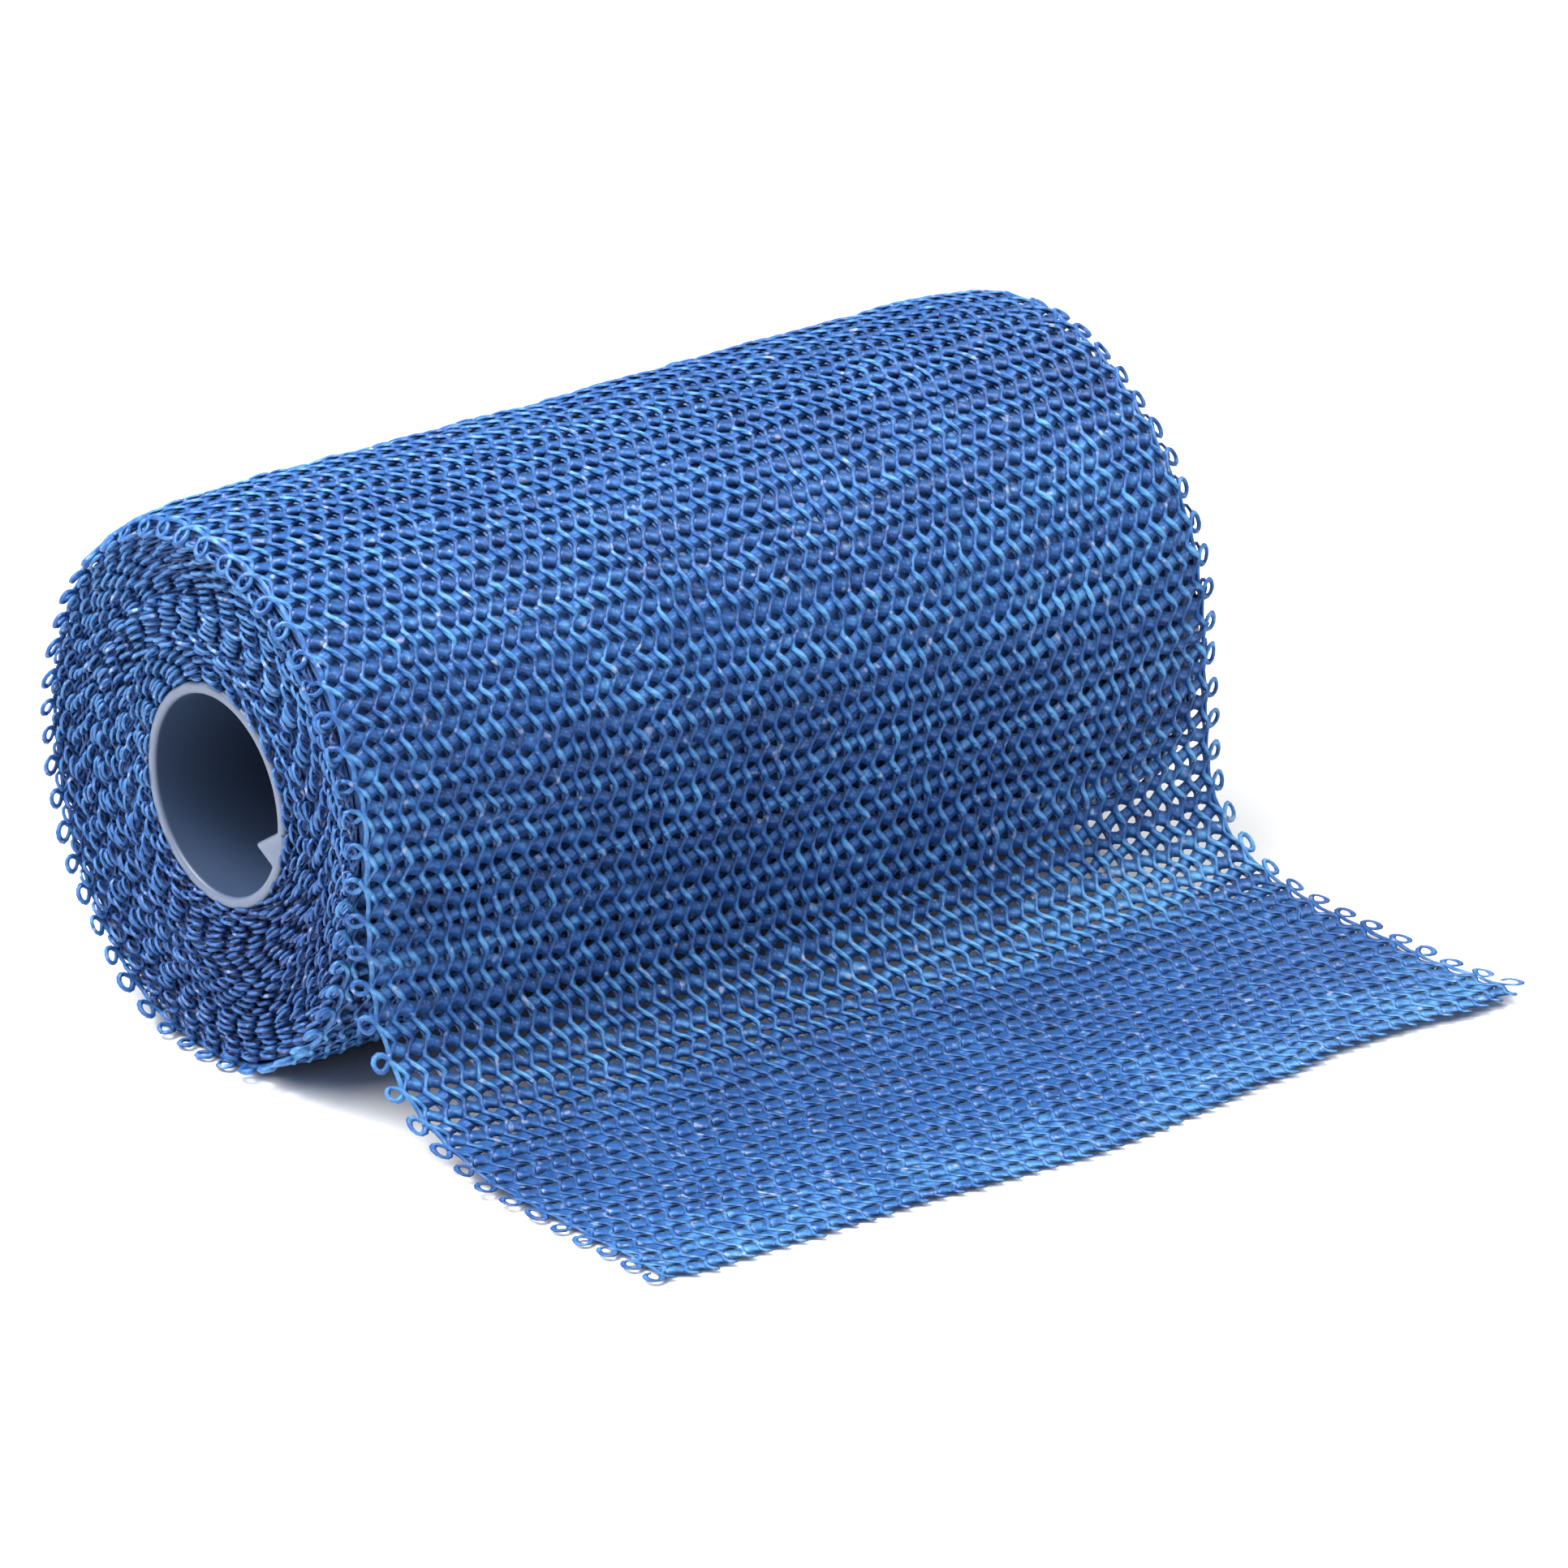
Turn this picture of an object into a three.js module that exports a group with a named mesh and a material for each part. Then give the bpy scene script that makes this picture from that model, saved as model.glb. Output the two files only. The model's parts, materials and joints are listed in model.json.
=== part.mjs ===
// Fibreglass casting tape roll: a long strip of open warp knit, wound on a keyed plastic core, with its
// loose end drawn out over the surface that the roll lies on.
// Millimetres, +Z up. X runs along the core from the near end (-X) to the far end (+X), the loose end
// points to -Y, and the origin is on the surface, under the middle of the roll.
// An angle round the core is in degrees, from the back (+Y) over the top (90) to the front (180).
import * as THREE from 'three';

// The tape
const TAPE_WIDTH = 127; // between the tips of its edge loops, a five-inch tape
const CLOTH_THICKNESS = 1.1; // of the loose end
const STITCH_REPEAT = 4.1; // along the tape, from one edge loop to the next
const EDGE_LOOP_DEPTH = 1.6; // how deep the outline dips between two edge loops
const PIECE_GAP = 0.3; // between neighbouring pieces

// The core
const CORE_LENGTH = 120.8;
const CORE_RADIUS = 13.3;
const CORE_WALL = 1.4;
const KEY = { upperFoot: 183.4, lowerFoot: 206.6, tip: 205.3, tipRadius: 8.2 };
const CORE_SEGMENTS = 56; // round the core

// The roll
const AXIS_HEIGHT = 31.83;
const PARTING_ANGLE = 182; // where the loose end leaves the roll
const PARTING_STEP = 0.5; // degrees over which the outermost turn ends
const PARTING_DROP = 1.4; // from the outermost turn to the turn below it
const SETTLED_ANGLE = 252; // where the turns below have taken up that drop
const RIM_SLOPE = 4; // keeps the end face's last ring inside the outermost turn
const STEPS_ROUND = 96;

// The roll's outline: how far its surface lies from the core's axis at its near and far rim, and how far
// it swells past the line between them once clear of the rims. The first row is the turn below, just
// past the parting line, and the last is the outermost turn.
const ROLL_OUTLINE = [
  { at: 182.5, near: 28.6, far: 31.2, swell: 0.9 },
  { at: 205, near: 29.4, far: 31.5, swell: 0.9 },
  { at: 230, near: 31.0, far: 31.8, swell: 0.6 },
  { at: 252, near: 31.9, far: 32.1, swell: 0.3 },
  { at: 270, near: 32.2, far: 32.3, swell: 0.2 },
  { at: 288, near: 32.1, far: 32.3, swell: 0.4 },
  { at: 315, near: 31.1, far: 32.2, swell: 0.9 },
  { at: 345, near: 30.2, far: 32.1, swell: 1.3 },
  { at: 372, near: 30.3, far: 32.3, swell: 1.5 },
  { at: 400, near: 31.2, far: 32.7, swell: 1.5 },
  { at: 425, near: 32.2, far: 33.0, swell: 1.5 },
  { at: 450, near: 32.0, far: 33.1, swell: 1.3 },
  { at: 474, near: 31.2, far: 32.6, swell: 1.0 },
  { at: 500, near: 30.6, far: 32.2, swell: 0.9 },
  { at: 522, near: 30.3, far: 32.2, swell: 0.9 },
  { at: 542, near: 30.0, far: 32.6, swell: 0.9 },
];

// How much of that swell shows along the roll, from the near rim to the far one.
const SHOULDERS = [
  { at: -63.5, full: 0.0 },
  { at: -61.5, full: 0.26 },
  { at: -59, full: 0.52 },
  { at: -55.5, full: 0.8 },
  { at: -50, full: 1.0 },
  { at: -17, full: 0.96 },
  { at: 17, full: 1.0 },
  { at: 52, full: 1.0 },
  { at: 57, full: 0.84 },
  { at: 60.5, full: 0.5 },
  { at: 63.5, full: 0.0 },
];

// The roll's end faces: how far groups of turns stand back from the tape's full width, from the core
// (at 0) to the outermost turn (at 1), and how far that wanders on the way round.
const END_FACE = [
  { at: 0.0, near: 2.8, far: 3.0, wander: 0.1 },
  { at: 0.08, near: 2.2, far: 2.5, wander: 0.2 },
  { at: 0.16, near: 2.8, far: 2.3, wander: 0.3 },
  { at: 0.27, near: 1.9, far: 2.5, wander: 0.4 },
  { at: 0.38, near: 2.5, far: 1.9, wander: 0.4 },
  { at: 0.5, near: 1.7, far: 2.3, wander: 0.4 },
  { at: 0.61, near: 2.3, far: 1.7, wander: 0.3 },
  { at: 0.72, near: 1.6, far: 2.1, wander: 0.3 },
  { at: 0.83, near: 2.0, far: 1.5, wander: 0.3 },
  { at: 0.92, near: 1.2, far: 1.5, wander: 0.2 },
  { at: 1.0, near: 0.0, far: 0.0, wander: 0.0 },
];
const WANDERS_ROUND = 2;
const WANDER_DRIFT = 5; // radians by which the wander turns from the core to the outermost turn

// The loose end's upper side: its near and far selvedge, from the parting line to past the cut end, and
// how far it bellies out between them.
const LOOSE_END = [
  { nearX: -63.5, nearY: -30.0, nearZ: 30.15, farX: 63.5, farY: -32.6, farZ: 30.15, belly: 0.9 },
  { nearX: -63.5, nearY: -30.4, nearZ: 24.5, farX: 63.6, farY: -33.0, farZ: 24.5, belly: 0.9 },
  { nearX: -63.4, nearY: -30.7, nearZ: 19.0, farX: 63.8, farY: -33.2, farZ: 18.8, belly: 0.8 },
  { nearX: -63.2, nearY: -32.0, nearZ: 13.0, farX: 64.1, farY: -33.9, farZ: 12.4, belly: 0.6 },
  { nearX: -62.8, nearY: -35.4, nearZ: 8.2, farX: 64.7, farY: -36.5, farZ: 7.8, belly: 0.4 },
  { nearX: -62.4, nearY: -40.0, nearZ: 4.8, farX: 65.3, farY: -41.0, farZ: 4.7, belly: 0.2 },
  { nearX: -61.8, nearY: -46.0, nearZ: 2.6, farX: 65.6, farY: -47.0, farZ: 3.0, belly: 0 },
  { nearX: -61.4, nearY: -54.0, nearZ: 1.4, farX: 65.8, farY: -55.0, farZ: 2.1, belly: 0 },
  { nearX: -61.1, nearY: -65.0, nearZ: 1.1, farX: 65.9, farY: -65.0, farZ: 2.0, belly: 0 },
  { nearX: -60.9, nearY: -76.0, nearZ: 1.1, farX: 66.2, farY: -76.0, farZ: 2.0, belly: 0 },
  { nearX: -60.7, nearY: -90.0, nearZ: 1.1, farX: 68.2, farY: -90.0, farZ: 2.1, belly: 0 },
];
const FAR_EDGE_CURL = 3; // power by which the height rises towards the far selvedge only

// The cut end: how far it stops short of the last row above, from the near (0) to the far selvedge (1).
const CUT_END = [
  { at: 0.0, short: 10.2 },
  { at: 0.05, short: 9.0 },
  { at: 0.16, short: 8.0 },
  { at: 0.28, short: 7.4 },
  { at: 0.37, short: 5.9 },
  { at: 0.48, short: 5.3 },
  { at: 0.6, short: 6.2 },
  { at: 0.7, short: 7.4 },
  { at: 0.8, short: 8.3 },
  { at: 0.86, short: 8.0 },
  { at: 0.92, short: 6.6 },
  { at: 1.0, short: 7.4 },
];
const ACROSS = [0, 0.03, 0.1, 0.2, 0.3, 0.38, 0.48, 0.6, 0.7, 0.8, 0.9, 0.97, 1]; // places across
const STEPS_A_LOOP = 4; // along an edge loop

const CLOTH = new THREE.MeshStandardMaterial({ color: 0x3d74bd, roughness: 0.5, metalness: 0 });
const WOUND_CLOTH = new THREE.MeshStandardMaterial({ color: 0x35649f, roughness: 0.55, metalness: 0 });
const PLASTIC = new THREE.MeshStandardMaterial({ color: 0xa6acbf, roughness: 0.35, metalness: 0 });

const mix = THREE.MathUtils.lerp;
const radians = THREE.MathUtils.degToRad;

// One column of a table at a place along it, smooth from row to row.
function readTable(rows, column, at) {
  const found = rows.findIndex((row) => row.at >= at);
  const next = found < 0 ? rows.length - 1 : Math.max(found, 1);
  const from = rows[next - 1];
  const to = rows[next];
  const slope = (row, before, after) =>
    before && after ? (after[column] - before[column]) / (after.at - before.at) : 0;
  const span = to.at - from.at;
  const t = THREE.MathUtils.clamp((at - from.at) / span, 0, 1);
  const startSlope = slope(from, rows[next - 2], to) * span;
  const endSlope = slope(to, from, rows[next + 1]) * span;
  return (
    from[column] * (1 + 2 * t) * (1 - t) ** 2 +
    startSlope * t * (1 - t) ** 2 +
    to[column] * (3 - 2 * t) * t ** 2 -
    endSlope * t ** 2 * (1 - t)
  );
}

// A closed body from a grid of points that joins up with itself in both directions.
function ringBody(rings) {
  const positions = [];
  const triangles = [];
  const across = rings[0].length;
  rings.forEach((ring, i) => {
    const next = (i + 1) % rings.length;
    ring.forEach((point, j) => {
      const beside = (j + 1) % across;
      const [a, b] = [i * across + j, i * across + beside];
      const [c, d] = [next * across + beside, next * across + j];
      positions.push(point.x, point.y, point.z);
      triangles.push(a, b, c, a, c, d);
    });
  });
  return indexedGeometry(positions, triangles);
}

// A closed sheet from the points of its upper and lower sides, row by row.
function sheetBody(upper, lower) {
  const [rows, columns] = [upper.length, upper[0].length];
  const positions = [...upper.flat(), ...lower.flat()].flatMap((point) => [point.x, point.y, point.z]);
  const top = (i, j) => i * columns + j;
  const bottom = (i, j) => rows * columns + top(i, j);
  const triangles = [];
  const face = (a, b, c, d) => triangles.push(a, b, c, a, c, d);
  for (let i = 0; i < rows - 1; i += 1) {
    for (let j = 0; j < columns - 1; j += 1) {
      face(top(i, j), top(i + 1, j), top(i + 1, j + 1), top(i, j + 1));
      face(bottom(i, j), bottom(i, j + 1), bottom(i + 1, j + 1), bottom(i + 1, j));
    }
    face(top(i, 0), bottom(i, 0), bottom(i + 1, 0), top(i + 1, 0));
    const last = columns - 1;
    face(top(i, last), top(i + 1, last), bottom(i + 1, last), bottom(i, last));
  }
  for (let j = 0; j < columns - 1; j += 1) {
    face(top(0, j), top(0, j + 1), bottom(0, j + 1), bottom(0, j));
    const last = rows - 1;
    face(top(last, j), bottom(last, j), bottom(last, j + 1), top(last, j + 1));
  }
  return indexedGeometry(positions, triangles);
}

function indexedGeometry(positions, triangles) {
  const geometry = new THREE.BufferGeometry();
  geometry.setAttribute('position', new THREE.Float32BufferAttribute(positions, 3));
  geometry.setIndex(triangles);
  geometry.computeVertexNormals();
  return geometry;
}

function namedMesh(name, geometry, material) {
  const mesh = new THREE.Mesh(geometry, material);
  mesh.name = name;
  return mesh;
}

// The core: an extruded tube whose bore has one V-shaped key.
function core() {
  const section = new THREE.Shape();
  section.absarc(0, 0, CORE_RADIUS, 0, 2 * Math.PI, false);
  const boreRadius = CORE_RADIUS - CORE_WALL;
  const [tipAngle, lowerFoot] = [radians(KEY.tip), radians(KEY.lowerFoot)];
  const bore = new THREE.Path();
  bore.absarc(0, 0, boreRadius, lowerFoot, radians(KEY.upperFoot + 360), false);
  bore.lineTo(KEY.tipRadius * Math.cos(tipAngle), KEY.tipRadius * Math.sin(tipAngle));
  bore.closePath();
  section.holes.push(bore);
  const geometry = new THREE.ExtrudeGeometry(section, {
    depth: CORE_LENGTH,
    bevelEnabled: false,
    curveSegments: CORE_SEGMENTS,
  });
  geometry.translate(0, 0, -CORE_LENGTH / 2);
  const mesh = namedMesh('core', geometry, PLASTIC);
  // The section's x and y become Y and Z, and its depth X.
  mesh.quaternion.setFromAxisAngle(new THREE.Vector3(1, 1, 1).normalize(), radians(120));
  mesh.position.z = AXIS_HEIGHT;
  return mesh;
}

// A point of the wound tape at a distance from the axis, not below the surface that it rests on.
function rollPoint(x, radius, angle) {
  const height = AXIS_HEIGHT + radius * Math.sin(radians(angle));
  return new THREE.Vector3(x, radius * Math.cos(radians(angle)), Math.max(height, 0));
}

// How far the roll's surface lies from the axis at a place along it.
function surfaceRadius(x, angle) {
  const share = x / TAPE_WIDTH + 0.5;
  const line = mix(readTable(ROLL_OUTLINE, 'near', angle), readTable(ROLL_OUTLINE, 'far', angle), share);
  return line + readTable(ROLL_OUTLINE, 'swell', angle) * readTable(SHOULDERS, 'full', x);
}

// One end face's points at an angle, from the core to the outermost turn.
function endFacePoints(side, angle) {
  const boreRadius = CORE_RADIUS + PIECE_GAP;
  const sign = side === 'near' ? -1 : 1;
  const outer = surfaceRadius((sign * TAPE_WIDTH) / 2, angle);
  const settled = THREE.MathUtils.smoothstep(angle, PARTING_ANGLE, SETTLED_ANGLE);
  const closed = outer + PARTING_DROP * (1 - settled);
  return END_FACE.map((row) => {
    const drift = WANDERS_ROUND * radians(angle) + WANDER_DRIFT * row.at;
    const recess = row[side] + row.wander * Math.sin(drift);
    const radius = Math.min(mix(boreRadius, closed, row.at), outer - RIM_SLOPE * (1 - row.at));
    return rollPoint(sign * (TAPE_WIDTH / 2 - recess), radius, angle);
  });
}

// The wound tape: rings of points round the core, each from the bore over the near end face, along the
// outermost turn and back over the far end face.
function woundTape() {
  const rings = [];
  for (let i = 0; i < STEPS_ROUND; i += 1) {
    const turned = ((360 - PARTING_STEP) * i) / (STEPS_ROUND - 1);
    const angle = PARTING_ANGLE + PARTING_STEP + turned;
    const outside = SHOULDERS.slice(1, -1).map(({ at: x }) =>
      rollPoint(x, surfaceRadius(x, angle), angle),
    );
    const ring = [...endFacePoints('near', angle), ...outside, ...endFacePoints('far', angle).reverse()];
    rings.push(ring.reverse());
  }
  return namedMesh('wound_tape', ringBody(rings), WOUND_CLOTH);
}

// How far the outline dips between the edge loops, at a distance along the selvedge.
function dipAt(distance) {
  return (EDGE_LOOP_DEPTH * (1 - Math.cos((2 * Math.PI * distance) / STITCH_REPEAT))) / 2;
}

// The loose end: a sheet between its two selvedges, which leaves the roll, sweeps down and lies flat.
function looseEnd() {
  const selvedge = (side) =>
    new THREE.CatmullRomCurve3(
      LOOSE_END.map((row) => new THREE.Vector3(row[`${side}X`], row[`${side}Y`], row[`${side}Z`])),
      false,
      'centripetal',
    );
  const [near, far] = [selvedge('near'), selvedge('far')];
  const bellies = LOOSE_END.map((row) => ({ at: -row.nearY, belly: row.belly }));
  const length = near.getLength();
  const steps = Math.round(((length - CUT_END[0].short) / STITCH_REPEAT) * STEPS_A_LOOP);
  const upper = [];
  for (let i = 0; i <= steps; i += 1) {
    upper.push(
      ACROSS.map((t) => {
        const share = (i / steps) * (1 - readTable(CUT_END, 'short', t) / length);
        const [a, b] = [near.getPointAt(share), far.getPointAt(share)];
        const inward = (t === 0 ? 1 : 0) - (t === 1 ? 1 : 0);
        const x = mix(a.x, b.x, t) + inward * dipAt((i / STEPS_A_LOOP) * STITCH_REPEAT);
        const belly = readTable(bellies, 'belly', -a.y) * readTable(SHOULDERS, 'full', x);
        return new THREE.Vector3(x, mix(a.y, b.y, t) - belly, mix(a.z, b.z, t ** FAR_EDGE_CURL));
      }),
    );
  }
  const lower = upper.map((row, i) =>
    row.map((point, j) => {
      const along = upper[Math.min(i + 1, steps)][j].clone().sub(upper[Math.max(i - 1, 0)][j]);
      const down = new THREE.Vector3(0, -along.z, along.y).normalize();
      const under = point.clone().addScaledVector(down, CLOTH_THICKNESS);
      under.z = Math.max(under.z, 0);
      return under;
    }),
  );
  return namedMesh('loose_end', sheetBody(upper, lower), CLOTH);
}

const roll = new THREE.Group();
roll.add(core(), woundTape(), looseEnd());

export default roll;
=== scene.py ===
# Fibreglass casting tape roll: an open warp knit of glass yarn, wound on a keyed plastic core, with its
# loose end drawn out over the surface that the roll lies on.
# Sizes are in millimetres and are turned into metres last. X runs along the core from the near end (-X)
# to the far end (+X), the loose end points to -Y, and Z is up from the surface.
# An angle round the core is in degrees, from the back (+Y) over the top (90) to the front (180).
import json
from math import pi, radians
from types import SimpleNamespace

import bpy
import numpy as np
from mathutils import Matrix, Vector

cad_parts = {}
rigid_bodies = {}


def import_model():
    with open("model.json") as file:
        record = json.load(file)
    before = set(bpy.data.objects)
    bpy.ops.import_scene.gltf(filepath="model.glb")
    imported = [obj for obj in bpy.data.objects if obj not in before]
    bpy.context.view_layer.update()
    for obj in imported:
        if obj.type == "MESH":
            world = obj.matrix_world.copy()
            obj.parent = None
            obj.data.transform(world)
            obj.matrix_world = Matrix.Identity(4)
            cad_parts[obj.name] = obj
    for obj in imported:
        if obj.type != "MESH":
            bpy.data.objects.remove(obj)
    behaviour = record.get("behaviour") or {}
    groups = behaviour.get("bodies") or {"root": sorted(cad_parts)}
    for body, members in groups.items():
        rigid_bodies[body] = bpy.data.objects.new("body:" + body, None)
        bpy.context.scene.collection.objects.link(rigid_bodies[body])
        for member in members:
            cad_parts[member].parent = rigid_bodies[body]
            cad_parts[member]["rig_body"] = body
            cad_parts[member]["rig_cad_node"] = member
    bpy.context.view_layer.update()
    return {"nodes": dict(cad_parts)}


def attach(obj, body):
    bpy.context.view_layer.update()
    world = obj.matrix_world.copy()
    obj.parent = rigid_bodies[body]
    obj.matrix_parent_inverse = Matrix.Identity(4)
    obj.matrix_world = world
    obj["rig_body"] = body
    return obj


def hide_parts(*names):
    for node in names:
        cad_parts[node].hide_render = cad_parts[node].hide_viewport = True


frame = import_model()

MM = 0.001

# The tape
TAPE_WIDTH = 127.0  # between the tips of its edge loops, a five-inch tape
WALES = 52  # pillars of stitches, side by side across the tape
WALE_PITCH = 2.378
FIRST_WALE = -60.65
REPEAT = 4.1  # two courses of stitches, and one edge loop
TURN_REPEATS = 49  # once round the roll
LOOSE_REPEATS = 17  # from where the tape leaves the roll to its cut end
HALF_CLOTH = 0.47  # half the knit's thickness
SIDE_SWAY = 0.44  # how far a pillar zigzags to each side
ZIGZAG = 1 / 12  # how far that zigzag is drawn from a wave towards straight sides
SLANT_WIDTH = 0.12  # how much wider a pillar is where it slants towards the far end
CROSS_LENGTH = 1.9  # of a cross yarn, from pillar to pillar

# Its edge loops
LOOP_YARN = 0.35  # radius of a loop's yarn
LOOP_MIDDLE = 1.4  # from the last pillar to the middle of its loops
LOOP_REACH = 1.1  # how far a loop reaches to each side of that
LOOP_SWING = 1.95  # how far its yarn swings back, which makes the loop as long as it is
LOOP_LIFT = 0.16  # how far its yarn rises and dips where it crosses itself
NEAR_CURL = 0.34  # how far the loops on the front of the roll curl in over its near end face
NEAR_DRAWN_IN = 0.16  # how much smaller they are there
NEAR_OUT = 0.35  # how much further out they stand behind
FAR_CURL = 0.1  # the same on top of the roll at its far end
FAR_OUT = 0.3
FLAT_OUT = 0.5  # how much further out the far ones stand where the loose end lies flat

# The wound turns
WOUND_TURNS = 25
WOUND_YARN = 0.25  # their edge loops are squeezed, with the same four sizes as above
WOUND_MIDDLE = 1.15
WOUND_REACH = 0.8
WOUND_SWING = 1.9
WOUND_TIP = 2.2  # from a wound turn's last pillar to the tips of its loops
WOUND_PILLAR = 0.3  # the middle of its last pillar on that way, and how far the pillar sways there
WOUND_SWAY = 0.75
WEAVE = 0.32  # how far its loops weave up and down between the turns beside them
WEAVE_ANGLE = 50  # degrees on the way round for each unit of that weave's length
SIZE_SPREAD = 0.12  # how much one loop differs in size from the next
LIFT_SPREAD = 0.09  # how much it differs in how far it weaves
LOOP_SEED = 31  # of these two spreads and of the slip below
SLIP = 0.7  # how far the loops slip along the tape, and over how many repeats
SLIP_REPEATS = 6
BODY_DEPTH = 1.1  # from the roll's surface down to what shows through the knit
TOP_DEPTH = 0.8  # the same on top, where the turns press together
BODY_INSET = 2.4  # from an end face's loops back to what shows between them
BODY_TONE = 0.4  # the tone of what shows there, and its paler tone on top, which is painted light
BODY_TOP_PAINTED_LIGHT = 0.85
TOP_SIDES = (0.3, 0.9)  # sines of the angles between which the top begins
WELD = 0.01  # vertices this close are one
FLOOR_CLEAR = 0.02  # the least height of any yarn over the floor

# The core
CORE_LENGTH = 120.8
CORE_RADIUS = 13.3
CORE_WALL = 1.4
KEY_UPPER_FOOT = 183.4  # the angles of the key's two feet in the bore, and of its tip
KEY_LOWER_FOOT = 206.6
KEY_TIP = 205.3
KEY_TIP_RADIUS = 8.2
RIM_ROUND = 0.45  # how wide its edges are rounded
RIM_LIGHT = (0.6, 0.1)  # how far from its ends the paler rim begins, and is full
PIECE_GAP = 0.3  # between the core and the innermost turn

# The roll
AXIS_HEIGHT = 31.83
PARTING = 543.2  # the angle at which the tape leaves the roll, after a full turn
PARTING_DROP = 1.4  # from the outermost turn to the turn below it
SETTLED_ANGLE = 252  # where the turns below have taken up that drop
PARTING_BLEND = 2.5  # to each side of the parting line, where roll and loose end go over into each other

# The camera, which stands where the photograph was taken
CAMERA_PLACE = Vector((-549.6, -701.0, 376.8)) * MM
CAMERA_AZIMUTH = 39.239
CAMERA_ELEVATION = 21.947
SENSOR = 36.0
LENS = 186.3


def table(columns, *rows):
    """A table with named columns, as one array for each column."""
    return {name: np.array(values, float) for name, values in zip(columns.split(), zip(*rows))}


def named_rows(columns, *rows):
    """A table with named columns, as one row after another."""
    return [SimpleNamespace(**dict(zip(columns.split(), row))) for row in rows]


# How far the roll's surface lies from the core's axis at its near and far rim, and how far it swells past
# the line between them. The first row is the turn below the outermost one.
ROLL_OUTLINE = table(
    "at near far swell",
    (182.5, 28.6, 31.2, 0.9),
    (205, 29.4, 31.5, 0.9),
    (230, 31.0, 31.8, 0.6),
    (252, 31.9, 32.1, 0.3),
    (270, 32.2, 32.3, 0.2),
    (288, 32.1, 32.3, 0.4),
    (315, 31.1, 32.2, 0.9),
    (345, 30.2, 32.1, 1.3),
    (372, 30.3, 32.3, 1.5),
    (400, 31.2, 32.7, 1.5),
    (425, 32.2, 33.0, 1.5),
    (450, 32.0, 33.1, 1.3),
    (474, 31.2, 32.6, 1.0),
    (500, 30.6, 32.2, 0.9),
    (522, 30.3, 32.2, 0.9),
    (542, 30.0, 32.6, 0.9),
)

# How much of that swell shows along the roll.
SHOULDERS = table(
    "at full",
    (-63.5, 0.0),
    (-61.5, 0.26),
    (-59, 0.52),
    (-55.5, 0.8),
    (-50, 1.0),
    (-17, 0.96),
    (17, 1.0),
    (52, 1.0),
    (57, 0.84),
    (60.5, 0.5),
    (63.5, 0.0),
)

# How far groups of turns stand back from the tape's full width at the two end faces, from the core (0)
# to the outermost turn (1), and how far that wanders on the way round.
END_FACE = table(
    "at near far wander",
    (0.0, 2.8, 3.0, 0.1),
    (0.08, 2.2, 2.5, 0.2),
    (0.16, 2.8, 2.3, 0.3),
    (0.27, 1.9, 2.5, 0.4),
    (0.38, 2.5, 1.9, 0.4),
    (0.5, 1.7, 2.3, 0.4),
    (0.61, 2.3, 1.7, 0.3),
    (0.72, 1.6, 2.1, 0.3),
    (0.83, 1.4, 1.3, 0.3),
    (0.92, 0.6, 1.1, 0.2),
    (1.0, 0.0, 0.0, 0.0),
)
WANDERS_ROUND = 2  # waves of that wandering in each turn
WANDER_DRIFT = 5.0  # radians by which they are shifted from the core to the outermost turn

# The loose end's upper side along its near and far selvedge, and how far it bellies out between them.
NEAR_SELVEDGE = table(
    "x y z belly",
    (-63.5, -30.0, 30.15, 0.9),
    (-63.5, -30.4, 24.5, 0.9),
    (-63.4, -30.7, 19.0, 0.8),
    (-63.2, -32.0, 13.0, 0.6),
    (-62.8, -35.4, 8.2, 0.4),
    (-62.4, -40.0, 4.8, 0.2),
    (-61.8, -46.0, 2.6, 0),
    (-61.4, -54.0, 1.4, 0),
    (-61.1, -65.0, 1.1, 0),
    (-60.9, -76.0, 1.1, 0),
    (-60.7, -90.0, 1.1, 0),
)
FAR_SELVEDGE = table(
    "x y z",
    (63.5, -32.6, 30.15),
    (63.6, -33.0, 24.5),
    (63.8, -33.2, 18.8),
    (64.1, -33.9, 12.4),
    (64.7, -36.5, 7.8),
    (65.3, -41.0, 4.7),
    (65.6, -47.0, 3.0),
    (65.8, -55.0, 2.1),
    (65.9, -65.0, 2.0),
    (66.2, -76.0, 2.0),
    (68.2, -90.0, 2.1),
)
FAR_EDGE_CURL = 3  # the power of the way across with which the far selvedge's own height comes in

# The cut end: how far it stops short of the last row above, from the near (0) to the far selvedge (1).
CUT_END = table(
    "at short",
    (0.0, 10.2),
    (0.05, 9.0),
    (0.16, 8.0),
    (0.28, 7.4),
    (0.37, 5.9),
    (0.48, 5.3),
    (0.6, 6.2),
    (0.7, 7.4),
    (0.8, 8.3),
    (0.86, 8.0),
    (0.92, 7.0),
    (1.0, 6.2),
)
CUT_REACH = 0.4  # how far the cut yarns reach past that
ROW_BOW = 3.2  # how much further along the tape a row of stitches lies at its middle
SETTLE = 0.14  # how far the loose end settles below its solid's upper side
CLOSED_UP = 0.5  # how much wider the cross yarns are where the loose end lies flat
PRESSED = 0.75  # how much flatter its stitches are there

# Between which places along the tape something comes in or goes, in repeats from the parting line
LIES_FLAT = (6, 9)
SWEEPS_DOWN = (3, 6)
NEARS_THE_CUT = (10, LOOSE_REPEATS)
TOP_BEGINS = (-27, -19)
TOP_ENDS = (-11, -5)
NEAR_LOOPS_COME_ROUND = (-21, -14)
NEAR_LOOPS_LET_GO = (2, 9)
FAR_LOOPS_COME_ROUND = (-14, -8)
FAR_LOOPS_LET_GO = (-8, 0)
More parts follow.
